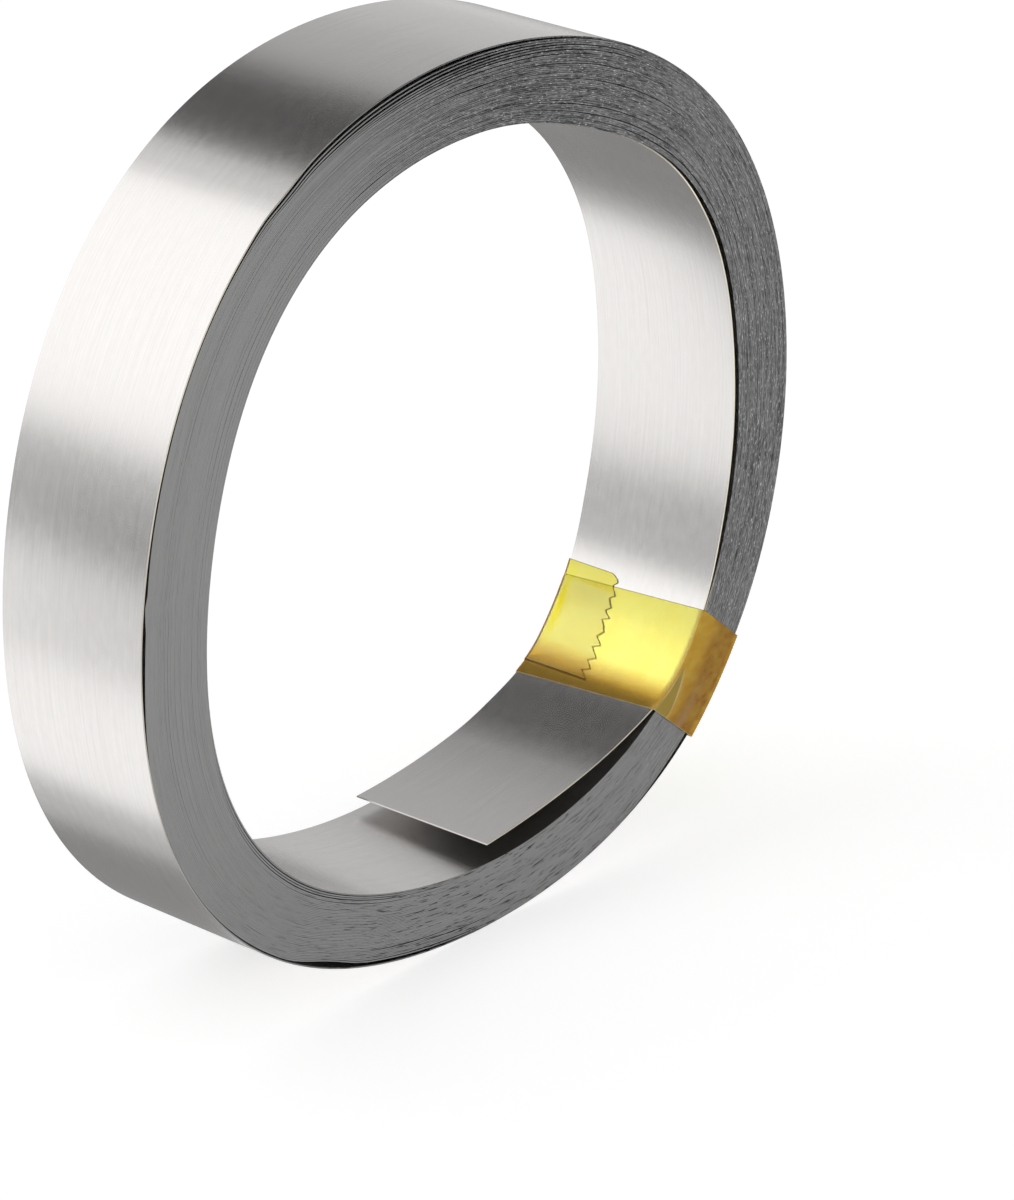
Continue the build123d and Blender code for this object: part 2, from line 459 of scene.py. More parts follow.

# %% [markdown]
# ## What the metal's finish follows
#
# Real grain and scratches run along the strip, so the texture needs the strip's own length and width,
# not the coil's round shape. They are stored as texture coordinates. The edges don't look the same all
# round either: some places are grainy, some get painted shade in short gaps between turns, and some a
# painted highlight or painted shade. Each of these is a number stored at every point, which the
# material reads later, and which costs no extra faces.

# %% Places on the strip
# Length along the strip, and place across it and through it, in metres.
ring_points = np.array(rings)
centres = ring_points.mean(axis=1)
run = np.concatenate([[0], np.cumsum(np.linalg.norm(np.diff(centres, axis=0), axis=1))])
uv_layer = strip_mesh.uv_layers.new(name="along_strip")
loop_vertex = np.zeros(len(strip_mesh.loops), np.int32)
strip_mesh.loops.foreach_get("vertex_index", loop_vertex)
on_bore_side = ring_points[:, [0, 1, 1, 1, 1, 0, 0, 0]]
rise = np.linalg.norm((ring_points - on_bore_side)[:, :, [0, 2]], axis=2)
across_strip = (ring_points[:, :, 1] + rise).ravel()
uv_values = np.stack([run[loop_vertex // ring_size], across_strip[loop_vertex]], axis=1)
uv_layer.data.foreach_set("uv", uv_values.astype(np.float32).ravel())
print("the strip is", round(float(run[-1]), 2), "m long")


# %% Looks of the end faces
def store_looks(mesh, looks):
    """Store each look as one number at every point of the mesh."""
    for name, amount in looks.items():
        attribute = mesh.attributes.new(name, "FLOAT", "POINT")
        attribute.data.foreach_set("value", amount.astype(np.float32))


# Painted highlight on the free turns' edges, standing in for the light they catch: the tail, the innermost
# turn, and the outermost one at the left. Painted shade on the outermost turn's edge just below the tape.
lit_places = [(150, 50, 0.8), (-165, 26, 0.45)]
shaded_places = [(-51, 15, 2.0)]
inner_lit_turns, inner_fade = 0.28, 0.06
outer_lit_turns, outer_fade = 0.95, 0.05
innermost = np.clip((inner_lit_turns - wound) / inner_fade, 0, 1)
outermost = np.clip((wound - turn_count + outer_lit_turns) / outer_fade, 0, 1)
lit = innermost + outermost * places(wound_angle, lit_places)
shaded = outermost * np.clip(places(wound_angle, shaded_places), 0, 1)
ring_angles = np.degrees(np.arctan2(centres[:, 2] - centre_height, centres[:, 0]))
end_looks = {
    "grainy": roughly_wound(ring_angles),
    "gap_shade": gap_shade(ring_angles),
    "lit_edge": np.concatenate([np.ones(tail_steps), lit]),
    "shaded_edge": np.concatenate([np.zeros(tail_steps), shaded]),
}
store_looks(strip_mesh, {name: np.repeat(amount, ring_size) for name, amount in end_looks.items()})
print("looks stored on the strip:", list(end_looks))

# %% [markdown]
# ## The tape
#
# The tape is one piece of amber film, 9.5 mm wide. It starts on the far end face, goes through the
# bore, over the near end face and round the outside, and comes back over its own start into the bore,
# where it was torn off against a dispenser's teeth. It is laid here as one sheet: a path round the
# wall, worked out again for each line across the film, so that it follows the lifted strip and drifts
# askew by a degree or two as the real one does.

# %% What the tape lies on
film_thick = 0.05 * mm
film_gap = 0.012 * mm
tape_half = 4.75 * mm
side_reach = strip_width / 2 + 0.06 * mm

# The metal in the bore is the tail and the start of the first turn, as one line for each of its edges.
turns_under_tape = 0.12
first_part = wound < turns_under_tape
first_angle = np.radians(wound_angle[first_part])
first_line = np.stack([np.cos(first_angle), np.sin(first_angle)], axis=1) * wound_inner[first_part][:, None]
near_edge = np.concatenate([near_tail[::-1], pressed_line(first_line, near_press)[1:]])
far_edge = np.concatenate([far_tail[::-1], pressed_line(first_line, far_press)[1:]])


def polar(line):
    """The angles and the radii of a line's points."""
    return np.degrees(np.arctan2(line[:, 1], line[:, 0])), np.hypot(line[:, 0], line[:, 1])


near_angles, near_radii = polar(near_edge)
far_angles, far_radii = polar(far_edge)


def metal_in_bore(angle, share):
    """The radius of the innermost turn's face, at a share of the width from its near edge."""
    near, far = np.interp(angle, near_angles, near_radii), np.interp(angle, far_angles, far_radii)
    return float(near * (1 - share) + far * share)


def metal_outside(angle):
    """The radius of the outermost turn's face at an angle."""
    at = np.array([float(angle)])
    return float(inner_face_radius(np.array([end_turn]), at)[0]) + free_thick


metal_at_tape = metal_in_bore(seam_angle, share=0.5), metal_outside(seam_angle)
print("at the tape the metal lies between radii", [round(radius / mm, 2) for radius in metal_at_tape])

# %% [markdown]
# ### The torn end
#
# A dispenser's blade tears film in a zigzag, with teeth that rise slowly and drop fast, no two alike.
# A real torn edge also leans and frays. So the line starts as a slow bow from the tape's upper edge to
# its lower one, then gets random teeth, which grow on the way down, and a fine random fray.

# %% Torn edge
tear_top, tear_bottom, tear_bow = 2.05 * mm, 0.95 * mm, 1.6
shortest_tooth, longest_tooth = 0.85 * mm, 1.45 * mm
first_tooth_depth, tooth_depth, depth_growth = 0.35, 0.50, 0.05
shallowest, deepest = 0.7, 1.2
tooth_peak = 0.68
torn_corner = 0.5 * mm
fray_count, fray_spacing, fray_height = 80, 0.13 * mm, 0.06

tooth_starts = [0.0]
tooth_depths = [first_tooth_depth]
tear_random = np.random.default_rng(11)
while tooth_starts[-1] < 2 * tape_half:
    tooth_starts.append(tooth_starts[-1] + tear_random.uniform(shortest_tooth, longest_tooth))
    usual_depth = tooth_depth + depth_growth * tooth_starts[-1] / mm
    tooth_depths.append(usual_depth * tear_random.uniform(shallowest, deepest))
frayed = tear_random.uniform(-fray_height, fray_height, fray_count)


def torn_edge(across):
    """Where the torn end stops along the axis, for a place across the tape from its top edge down."""
    down = tape_half - across
    share = down / (2 * tape_half)
    line = tear_top + (tear_bottom - tear_top) * share ** tear_bow
    tooth = max(k for k, start in enumerate(tooth_starts) if start <= max(down, 0))
    phase = (down - tooth_starts[tooth]) / (tooth_starts[tooth + 1] - tooth_starts[tooth])
    wave = phase / tooth_peak if phase < tooth_peak else (1 - phase) / (1 - tooth_peak)
    rounded = torn_corner * max(0, 1 - down / torn_corner) ** 2
    fray = float(np.interp(down / fray_spacing, np.arange(fray_count), frayed)) * mm
    return line + rounded + fray - tooth_depths[tooth] * mm * (wave - 0.5)


print(len(tooth_starts) - 1, "teeth in the torn edge")

# %% [markdown]
# ### The film's way round the wall
#
# The film turns about a dozen corners on its way: round the four edges of the wall, over the gap beside
# the tail, where it stands off as a small tent, and over the edge of its own first layer. Each corner is
# a radius, a place along the axis, the middle angle of the tape there, and how much it is rounded. One
# function gives the corners for any line along the film, and a second one lays points between them.


# %% Corners of the film
# The tape's middle angle where it starts, enters the bore, leaves it, crosses the rim and ends.
centre_far_start, centre_far, centre_near, centre_side, centre_last = -42.9, -42.6, -41.1, -40.95, -40.3
usual_bore, usual_rim = 33.2 * mm, 38.8 * mm
first_layer_top = centre_far + 8.3
second_layer_lift = 1.15

# Where the film stands off, in millimetres: the tent beside the tail, which grows from its top angle
# downwards, the slack on the rim, which grows too, and a ridge in the second layer near the far edge.
tent_top, tent_length = -41.0, 7.5
tent_least, tent_growth = 0.16, 1.85
rim_slack, rim_slack_growth, rim_slack_bow = 0.12, 0.42, 1.5
ridge_height, ridge_middle, ridge_half = 0.10, 1.9, 2.6


def tape_angle(centre, across, radius):
    """The angle of a spot a distance across the tape, whose long edges stay parallel."""
    return centre + np.degrees(np.arcsin(across / radius))


def second_layer(angle):
    """How many film thicknesses the torn end lies on: the first layer's upper edge is lower than its own."""
    on_first = np.clip(first_layer_top - angle, 0, 1)
    return second_layer_lift * float(on_first * on_first * (3 - 2 * on_first))


def tent_share(angle):
    """From 0, where the film leaves the end face beside the tail, to 1 at its lower edge."""
    return float(np.clip((tent_top - angle) / tent_length, 0, 1))


def film_corners(across):
    """Corners of the film's path round the wall: radius, place along the axis, middle angle, rounding."""
    down = 0.5 - across / (2 * tape_half)
    off = film_gap + film_thick / 2
    doubled = film_thick * second_layer_lift
    far_angle = tape_angle(centre_far, across, usual_bore)
    near_angle = tape_angle(centre_near, across, usual_bore)
    last_angle = tape_angle(centre_last, across, usual_bore)
    out_angle = tape_angle(centre_side, across, usual_rim)
    bore_far = metal_in_bore(far_angle, 1) - off
    bore_near = metal_in_bore(near_angle, 0) - off
    tent = (tent_least + tent_growth * tent_share(near_angle)) * mm
    crease = bore_near + tent
    slack = (rim_slack + rim_slack_growth * down ** rim_slack_bow) * mm
    outside = metal_outside(out_angle) + off + slack
    near_y, far_y = -side_reach - off, side_reach + off
    raised = film_thick * second_layer(last_angle)
    bore_last = metal_in_bore(last_angle, 1) - off - raised
    tear_y = torn_edge(across)
    bore_tear = metal_in_bore(last_angle, tear_y / strip_width + 0.5) - off - raised
    ridge = ridge_height * mm * max(0, 1 - abs(across - ridge_middle * mm) / (ridge_half * mm))
    return [
        # From the film's start on the far end face through the bore
        (bore_far + 2.8 * mm, far_y, centre_far_start, 0),
        (bore_far, far_y, centre_far, 0.10 * mm),
        (bore_near, near_y, centre_near, 0.07 * mm),
        # Over the tent on the near end face, and round the rim
        (bore_near + 0.5 * tent, near_y, centre_near, 0),
        (crease, near_y, centre_near + 0.05, 0),
        (outside, near_y, centre_side, 0.14 * mm),
        (outside, far_y, centre_side, 0.14 * mm),
        # Back over the film's own start
        (bore_far + 3.3 * mm, far_y, centre_side + 0.2, 0),
        (bore_far + 2.7 * mm, far_y + doubled, centre_side + 0.3, 0),
        (bore_last, far_y + doubled, centre_last, 0.12 * mm),
        # On the first layer in the bore, as far as the torn end
        (bore_last - ridge, far_y - 0.9 * mm, centre_last, 0),
        (bore_last - 0.2 * ridge, far_y - 1.7 * mm, centre_last, 0),
        (bore_tear, tear_y + 0.09 * mm, centre_last, 0),
        (bore_tear, tear_y, centre_last, 0),
    ]


print("corners on the film's way:", len(film_corners(0)))

# %% Path of the film
tape_columns = 140
inside_wall = 35 * mm

# Points from each corner to the next, and round a corner. The third and fourth stretches are the tent,
# and from the seventh on the film is its own second layer.
steps_between = [9, 26, 4, 4, 18, 26, 10, 3, 12, 6, 5, 11, 3]
corner_steps = 5
tent_parts, second_layer_starts = (2, 3), 6


def film_path(across):
    """Points of the film's middle layer round the wall, for one line across the tape, and their parts."""
    corners = np.array(film_corners(across))
    points = []
    parts = []
    for k, count in enumerate(steps_between):
        start, stop = corners[k], corners[k + 1]
        away = stop[:3] - start[:3]
        length = np.hypot(away[0], away[1])
        first, last = start[3] / length, 1 - stop[3] / length
        for share in np.linspace(first, last, count):
            points.append(start[:3] + away * share)
            parts.append(k)
        if stop[3] > 0:
            onward = corners[k + 2][:3] - stop[:3]
            leave = stop[:3] + onward * stop[3] / np.hypot(onward[0], onward[1])
            enter = points[-1]
            for turn in np.linspace(0, 1, corner_steps + 2)[1:-1]:
                points.append(enter * (1 - turn) ** 2 + stop[:3] * 2 * turn * (1 - turn) + leave * turn ** 2)
                parts.append(k)
    found = []
    for (radius, y, centre), part in zip(points, parts):
        degrees_here = float(tape_angle(centre, across, radius))
        if abs(y) < strip_width / 2 and radius < inside_wall:
            metal = metal_in_bore(degrees_here, y / strip_width + 0.5)
            layers_below = second_layer(degrees_here) if part >= second_layer_starts else 0
            radius = min(radius, metal - film_gap - film_thick * (0.5 + layers_below))
        angle = radians(degrees_here)
        found.append((radius * cos(angle), y, radius * sin(angle) + centre_height))
    return found, parts


paths = [film_path(across) for across in np.linspace(-tape_half, tape_half, tape_columns)]
film = np.array([points for points, _ in paths]).transpose(1, 0, 2)
film_part = np.array([parts for _, parts in paths]).T
print("film grid", film.shape)


# %% Mesh of the tape
def sheet_mesh(name, grid, thick):
    """A closed thin sheet round a grid of points, half its thickness to each side."""
    rows, columns = grid.shape[:2]
    along, across = np.gradient(grid, axis=0), np.gradient(grid, axis=1)
    normals = np.cross(along, across)
    normals /= np.linalg.norm(normals, axis=2)[:, :, None]
    verts = np.concatenate([(grid + side * normals * thick / 2).reshape(-1, 3) for side in (1, -1)])
    count = rows * columns
    faces = []
    for i in range(rows - 1):
        for j in range(columns - 1):
            a = i * columns + j
            faces.append((a, a + columns, a + columns + 1, a + 1))
            faces.append((a + count, a + 1 + count, a + columns + 1 + count, a + columns + count))
    border = list(range(columns))
    border += [i * columns + columns - 1 for i in range(1, rows)]
    border += [(rows - 1) * columns + j for j in range(columns - 2, -1, -1)]
    border += [i * columns for i in range(rows - 2, 0, -1)]
    for k, a in enumerate(border):
        b = border[(k + 1) % len(border)]
        faces.append((a, b, b + count, a + count))
    mesh = bpy.data.meshes.new(name)
    mesh.from_pydata(verts.tolist(), [], faces)
    cut_faces = [0] * (len(faces) - len(border)) + [1] * len(border)
    mesh.polygons.foreach_set("material_index", cut_faces)
    return mesh


tape_mesh = sheet_mesh("tape_band_film", film, film_thick)
tape_mesh.polygons.foreach_set("use_smooth", [True] * len(tape_mesh.polygons))
tape_mesh.set_sharp_from_angle(angle=radians(35))
tape = placed("tape_band_film", tape_mesh)
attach(tape, "root")
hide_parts("tape_band")
print("tape faces", len(tape_mesh.polygons))

# %% [markdown]
# ### What each spot of the film does
#
# One film shows many colours: clear yellow on bright metal, deeper where it is doubled or glued to the
# slit edges. Painted shade darkens it where it hangs in the air over a dark gap and low in the bore, a
# painted highlight deepens its yellow where it stands off the metal, and painted highlights and dark
# lines, the cut edges' brown with painted shadow, run along its folds and cut edges. The shape already
# knows where each of these is, so each becomes a number at every point of the film.

# %% Looks of the film
film_y = film[:, :, 1] / mm
film_radius = np.hypot(film[:, :, 0], film[:, :, 2] - centre_height) / mm
film_angle = np.degrees(np.arctan2(film[:, :, 2] - centre_height, film[:, :, 0]))
film_across = np.tile(np.linspace(-tape_half, tape_half, tape_columns), (film.shape[0], 1)) / mm
column = np.tile(np.arange(tape_columns), (film.shape[0], 1))
in_tent = np.isin(film_part, tent_parts)
tented_share = np.clip((-41.3 - film_angle) / 2.0, 0, 1)
folds_beside_tent = in_tent ^ np.roll(in_tent, 1, axis=0)
torn_line = np.zeros(film.shape[:2])
torn_line[-2:] = 1


def near_to(values, middle, half):
    """1 at the middle, falling evenly to 0 at half to each side."""
    return np.clip(1 - np.abs(values - middle) / half, 0, 1)


# Low down in the bore the film gets painted shade, and the painted highlights on the folds beside the tent
# fade there.
on_first_layer = film_part >= second_layer_starts
shade_low_in_bore = np.clip((-44.0 - film_angle) / 4.0, 0, 1) * (film_radius < 34.5)
fold_fades = np.clip(1 - (-45.5 - film_angle) / 3.5, 0.4, 1)

# Places along the axis, radii and places across the tape are in millimetres here.
film_looks = {
    "on_end": np.clip((-film_y - 7.50) / 0.05, 0, 1) + np.clip((film_y - 7.55) / 0.01, 0, 1),
    # Painted highlight: a deeper yellow where the film stands off the metal near its far edge.
    "off_metal_highlight": near_to(film_y, 6.95, 0.5) * near_to(film_across, 1.4, 3.6),
    "doubled": on_first_layer * np.clip(first_layer_top - film_angle, 0, 1),
    # Painted shade low in the bore, on one layer of film and on two.
    "low": ~on_first_layer * shade_low_in_bore,
    "shade_low_doubled": on_first_layer * shade_low_in_bore,
    # Painted shade where the film hangs over the dark gap beside the tail.
    "tent_shade": in_tent * tented_share,
    # Painted highlights along the folds beside the tent and along the film's lower edge.
    "highlight_line": folds_beside_tent * tented_share * fold_fades + (column == 0) * ~on_first_layer,
    # The cut edges' own dark brown, with painted shadow beside them.
    "edge_and_shadow_line": torn_line + (column <= 1) * on_first_layer + 0.6 * (column == tape_columns - 1),
    # A paler streak on the lower film near the rim.
    "pale_streak": near_to(film_radius, 36.9, 0.8) * np.clip(0.2 - film_across / 4.75, 0, 1),
    "glued": np.clip((36.4 - film_radius) / 1.8, 0, 1),
}
both_sides = {name: np.tile(np.clip(amount, 0, 1).ravel(), 2) for name, amount in film_looks.items()}
store_looks(tape_mesh, both_sides)
print("looks stored on the film:", list(film_looks))

# %% [markdown]
# ## Nickel
#
# Rolled nickel is a warm light grey metal with a satin finish: very fine lines run along the strip,
# and under them lies a faint grain. The strip's own length and width drive the pattern, so the lines
# follow the metal round the coil and out along the tail.

# %% Helpers for materials
def new_material(name):
    """A material with its nodes, its links and its main shader."""
    material = bpy.data.materials.new(name)
    material.use_nodes = True
    nodes, links = material.node_tree.nodes, material.node_tree.links
    return material, nodes, links, nodes["Principled BSDF"]


def stretched_noise(nodes, links, coordinates, stretch, detail=3.0):
    """A noise texture over coordinates scaled by a stretch of three numbers."""
    mapping = nodes.new("ShaderNodeMapping")
    mapping.inputs["Scale"].default_value = stretch
    noise = nodes.new("ShaderNodeTexNoise")
    noise.inputs["Scale"].default_value = 1.0
    noise.inputs["Detail"].default_value = detail
    links.new(coordinates, mapping.inputs["Vector"])
    links.new(mapping.outputs["Vector"], noise.inputs["Vector"])
    return noise.outputs["Fac"]


def ranged(nodes, links, value, low, high, start=0.3, end=0.7):
    """A noise value spread over a range."""
    node = nodes.new("ShaderNodeMapRange")
    node.inputs["From Min"].default_value = start
    node.inputs["From Max"].default_value = end
    node.inputs["To Min"].default_value = low
    node.inputs["To Max"].default_value = high
    links.new(value, node.inputs["Value"])
    return node.outputs["Result"]


def colour_between(nodes, links, value, first, second):
    """A colour that goes from the first to the second as the value rises."""
    node = nodes.new("ShaderNodeMix")
    node.data_type = "RGBA"
    node.inputs["A"].default_value = (*first, 1)
    node.inputs["B"].default_value = (*second, 1)
    links.new(value, node.inputs["Factor"])
    return node.outputs["Result"]


def mixed_colour(nodes, links, factor, first, second):
    """One colour over another by a factor, each a colour or the output of a node."""
    node = nodes.new("ShaderNodeMix")
    node.data_type = "RGBA"
    links.new(factor, node.inputs["Factor"])
    for name, colour in (("A", first), ("B", second)):
        if isinstance(colour, tuple):
            node.inputs[name].default_value = colour
        else:
            links.new(colour, node.inputs[name])
    return node.outputs["Result"]


def blend(nodes, links, share, first, second):
    """One value at a share and the other at the rest."""
    node = nodes.new("ShaderNodeMix")
    node.inputs["Factor"].default_value = 1 - share
    links.new(first, node.inputs["A"])
    links.new(second, node.inputs["B"])
    return node.outputs["Result"]


def product(nodes, links, first, second):
    node = nodes.new("ShaderNodeMath")
    node.operation = "MULTIPLY"
    links.new(first, node.inputs[0])
    links.new(second, node.inputs[1])
    return node.outputs["Value"]


def attribute_value(nodes, name):
    node = nodes.new("ShaderNodeAttribute")
    node.attribute_name = name
    return node.outputs["Fac"]


def bump_from(nodes, links, height, strength, distance):
    node = nodes.new("ShaderNodeBump")
    node.inputs["Strength"].default_value = strength
    node.inputs["Distance"].default_value = distance
    links.new(height, node.inputs["Height"])
    return node.outputs["Normal"]


# %% Satin nickel
def satin_nickel():
    material, nodes, links, shader = new_material("satin_nickel")
    place = nodes.new("ShaderNodeUVMap")
    place.uv_map = "along_strip"
    lines = stretched_noise(nodes, links, place.outputs["UV"], (60, 9000, 1))
    grain = stretched_noise(nodes, links, place.outputs["UV"], (800, 1500, 1), 1.0)
    swells = stretched_noise(nodes, links, place.outputs["UV"], (130, 210, 1), 1.0)
    shader.inputs["Metallic"].default_value = 1.0
    both = blend(nodes, links, 0.7, lines, grain)
    dull, bright = (0.665, 0.648, 0.634), (0.735, 0.717, 0.702)
    tint = colour_between(nodes, links, ranged(nodes, links, both, 0, 1), dull, bright)
    links.new(tint, shader.inputs["Base Color"])
    links.new(ranged(nodes, links, grain, 0.25, 0.265), shader.inputs["Roughness"])
    links.new(bump_from(nodes, links, swells, 1.0, 0.012 * mm), shader.inputs["Normal"])
    return material


strip_mesh.materials.append(satin_nickel())
print("rolled faces are", strip_mesh.materials[rolled_metal].name)

# %% [markdown]
# ### Slit edges
#
# The strip was slit from a wider sheet, so its long edges are torn metal: grey, rougher than the rolled
# faces, streaked along their length, with small bright burrs. A clean grey and a rough dark one are
# mixed by the places stored before, and the burrs go on top, then painted shade in short gaps between
# turns, a painted highlight on the free turns' edges and painted shade on one edge below the tape.

# %% Slit edges
def slit_edge():
    """The cut edges: greyer and rougher than the rolled faces, with streaks and bright burrs, and with
    painted shade and a painted highlight.
    """
    material, nodes, links, shader = new_material("slit_edge")
    place = nodes.new("ShaderNodeUVMap")
    place.uv_map = "along_strip"
    streaks = stretched_noise(nodes, links, place.outputs["UV"], (160, 3, 1))
    specks = stretched_noise(nodes, links, place.outputs["UV"], (1500, 9000, 1), 2.0)
    gap_shade_dashes = stretched_noise(nodes, links, place.outputs["UV"], (560, 10500, 1), 2.0)
    burrs = stretched_noise(nodes, links, place.outputs["UV"], (2600, 9000, 1), 0.0)
    uneven = blend(nodes, links, 0.5, streaks, specks)
    clean_dark, clean_light = (0.255, 0.255, 0.255), (0.315, 0.315, 0.312)
    rough_dark, rough_light = (0.055, 0.055, 0.057), (0.30, 0.30, 0.30)
    clean = colour_between(nodes, links, ranged(nodes, links, streaks, 0, 1), clean_dark, clean_light)
    uneven_here = ranged(nodes, links, uneven, 0, 1, 0.38, 0.62)
    rough = colour_between(nodes, links, uneven_here, rough_dark, rough_light)
    grainy, gap_shade_here = attribute_value(nodes, "grainy"), attribute_value(nodes, "gap_shade")
    shade = mixed_colour(nodes, links, grainy, clean, rough)
    bright = product(nodes, links, grainy, ranged(nodes, links, burrs, 0, 1, 0.68, 0.76))
    shade = mixed_colour(nodes, links, bright, shade, (0.50, 0.50, 0.50, 1))
    # Painted shade: near-black dashes in short gaps between turns.
    dark = product(nodes, links, gap_shade_here, ranged(nodes, links, gap_shade_dashes, 0, 1, 0.60, 0.63))
    shade = mixed_colour(nodes, links, dark, shade, (0.03, 0.03, 0.03, 1))
    # Painted highlight on the free turns' edges, then painted shade on the outermost turn's edge below the
    # tape.
    lit_unevenly = ranged(nodes, links, streaks, 0.6, 0.95)
    lit_here = product(nodes, links, attribute_value(nodes, "lit_edge"), lit_unevenly)
    shade = mixed_colour(nodes, links, lit_here, shade, (0.95, 0.89, 0.71, 1))
    shade = mixed_colour(nodes, links, attribute_value(nodes, "shaded_edge"), shade, (0.02, 0.02, 0.02, 1))
    shader.inputs["Metallic"].default_value = 1.0
    links.new(shade, shader.inputs["Base Color"])
    links.new(ranged(nodes, links, streaks, 0.42, 0.55), shader.inputs["Roughness"])
    return material


strip_mesh.materials.append(slit_edge())
print("cut faces are", strip_mesh.materials[slit_metal].name)

# %% [markdown]
# ## Amber film
#
# The tape is clear amber film: what colours it is the light that goes down through it to the metal and
# comes back. So it is a thin closed sheet of tinted clear plastic, and its yellow is bright where the
# metal is bright and olive where the metal is dark. Its surface is a little uneven, and glossy.

# %% Film material
def amber_film():
    material, nodes, links, shader = new_material("amber_film")
    place = nodes.new("ShaderNodeTexCoord")
    clouds = stretched_noise(nodes, links, place.outputs["Object"], (420, 420, 420), 4.0)
    folds = stretched_noise(nodes, links, place.outputs["Object"], (900, 300, 1300), 1.5)
    ripples = stretched_noise(nodes, links, place.outputs["Object"], (700, 700, 700), 1.0)

    def marked(name, under, colour, strength=1.0):
        """The colour under it, with another where the film is marked."""
        share = attribute_value(nodes, name)
        return mixed_colour(nodes, links, ranged(nodes, links, share, 0, strength, 0, 1), under, (*colour, 1))

    deep_yellow, pale_yellow = (1.0, 0.955, 0.42), (1.0, 0.985, 0.48)
    dark_brown, light_brown = (0.80, 0.42, 0.03), (1.0, 0.68, 0.10)
    clear = colour_between(nodes, links, ranged(nodes, links, clouds, 0, 1), deep_yellow, pale_yellow)
    # Painted shade low in the bore makes the film more orange there, on one layer and on two.
    # Light goes four times through doubled film, so each of its layers takes less colour out.
    clear = marked("low", clear, (0.98, 0.76, 0.27))
    clear = marked("doubled", clear, (1.0, 0.99, 0.85))
    clear = marked("shade_low_doubled", clear, (0.98, 0.86, 0.36))
    # Painted highlight: a deeper yellow where the film stands off the metal near its far edge.
    clear = marked("off_metal_highlight", clear, (1.0, 0.95, 0.03), 0.9)
    brown = colour_between(nodes, links, ranged(nodes, links, folds, 0, 1), dark_brown, light_brown)
    brown = marked("glued", brown, (1.0, 0.64, 0.05), 0.55)
    # A paler streak on the lower film near the rim.
    brown = marked("pale_streak", brown, (1.0, 0.74, 0.46), 0.6)
    # Painted shade where the film hangs over the dark gap beside the tail.
    brown = marked("tent_shade", brown, (0.60, 0.45, 0.09), 0.75)
    tint = mixed_colour(nodes, links, attribute_value(nodes, "on_end"), clear, brown)
    # The cut edges' own dark brown, with painted shadow beside them.
    tint = marked("edge_and_shadow_line", tint, (0.17, 0.11, 0.04), 0.9)
    # Painted highlights along the folds and the film's lower edge.
    tint = marked("highlight_line", tint, (1.0, 0.90, 0.60), 0.95)
    links.new(tint, shader.inputs["Base Color"])
    links.new(ranged(nodes, links, clouds, 0.03, 0.08), shader.inputs["Roughness"])
    opaque = nodes.new("ShaderNodeMath")
    opaque.operation = "MAXIMUM"
    links.new(attribute_value(nodes, "edge_and_shadow_line"), opaque.inputs[0])
    links.new(attribute_value(nodes, "highlight_line"), opaque.inputs[1])
    clear_in_bore = ranged(nodes, links, attribute_value(nodes, "on_end"), 0.92, 0.45, 0, 1)
    clear_off_lines = ranged(nodes, links, opaque.outputs["Value"], 0.92, 0.3, 0, 1)
    clearness = blend(nodes, links, 0.5, clear_in_bore, clear_off_lines)
    glued_here = product(nodes, links, attribute_value(nodes, "on_end"), attribute_value(nodes, "glued"))
    clearness = product(nodes, links, clearness, ranged(nodes, links, glued_here, 1, 0.45, 0, 1))
    links.new(clearness, shader.inputs["Transmission Weight"])
    # Glue fills the space between the film's layers, so they mirror less than film in air would.
    shader.inputs["IOR"].default_value = 1.2
    links.new(bump_from(nodes, links, ripples, 0.12, 0.02 * mm), shader.inputs["Normal"])
    return material


def film_cut():
    """The film's cut and torn edges, which show as thin brown lines."""
    material, nodes, links, shader = new_material("film_cut")
    place = nodes.new("ShaderNodeTexCoord")
    spots = stretched_noise(nodes, links, place.outputs["Object"], (1500, 1500, 1500), 1.0)
    dark, light = (0.20, 0.115, 0.02), (0.42, 0.27, 0.06)
    tint = colour_between(nodes, links, ranged(nodes, links, spots, 0, 1), dark, light)
    links.new(tint, shader.inputs["Base Color"])
    shader.inputs["Roughness"].default_value = 0.4
    return material


tape_mesh.materials.append(amber_film())
tape_mesh.materials.append(film_cut())
print("tape materials", [m.name for m in tape_mesh.materials])

# %% [markdown]
# ## The floor and the white surround
#
# The photograph is a cut-out on white. A pale floor and a pale world give that without pouring more
# light on the metal: rays from the camera, and those that mirrors and clear film send on, see plain
# white, and everything else sees a softer grey. The floor keeps the coil's shadow.

# %% Floor and world
reach = 3.0
floor_grey = (0.82, 0.82, 0.82, 1)
floor_glow = 0.55
surround_level, surround_level_seen = 0.55, 1.0
floor_mesh = bpy.data.meshes.new("floor")
floor_corners = [(-reach, -reach, 0), (reach, -reach, 0), (reach, reach, 0), (-reach, reach, 0)]
floor_mesh.from_pydata(floor_corners, [], [(0, 1, 2, 3)])
floor = placed("floor", floor_mesh)


def seen_directly(nodes, links):
    """1 for rays from the camera, a mirror or a clear film, and 0 for all others."""
    path = nodes.new("ShaderNodeLightPath")
    value = path.outputs["Is Camera Ray"]
    for name in ("Is Glossy Ray", "Is Transmission Ray"):
        node = nodes.new("ShaderNodeMath")
        node.operation = "MAXIMUM"
        links.new(value, node.inputs[0])
        links.new(path.outputs[name], node.inputs[1])
        value = node.outputs["Value"]
    return value


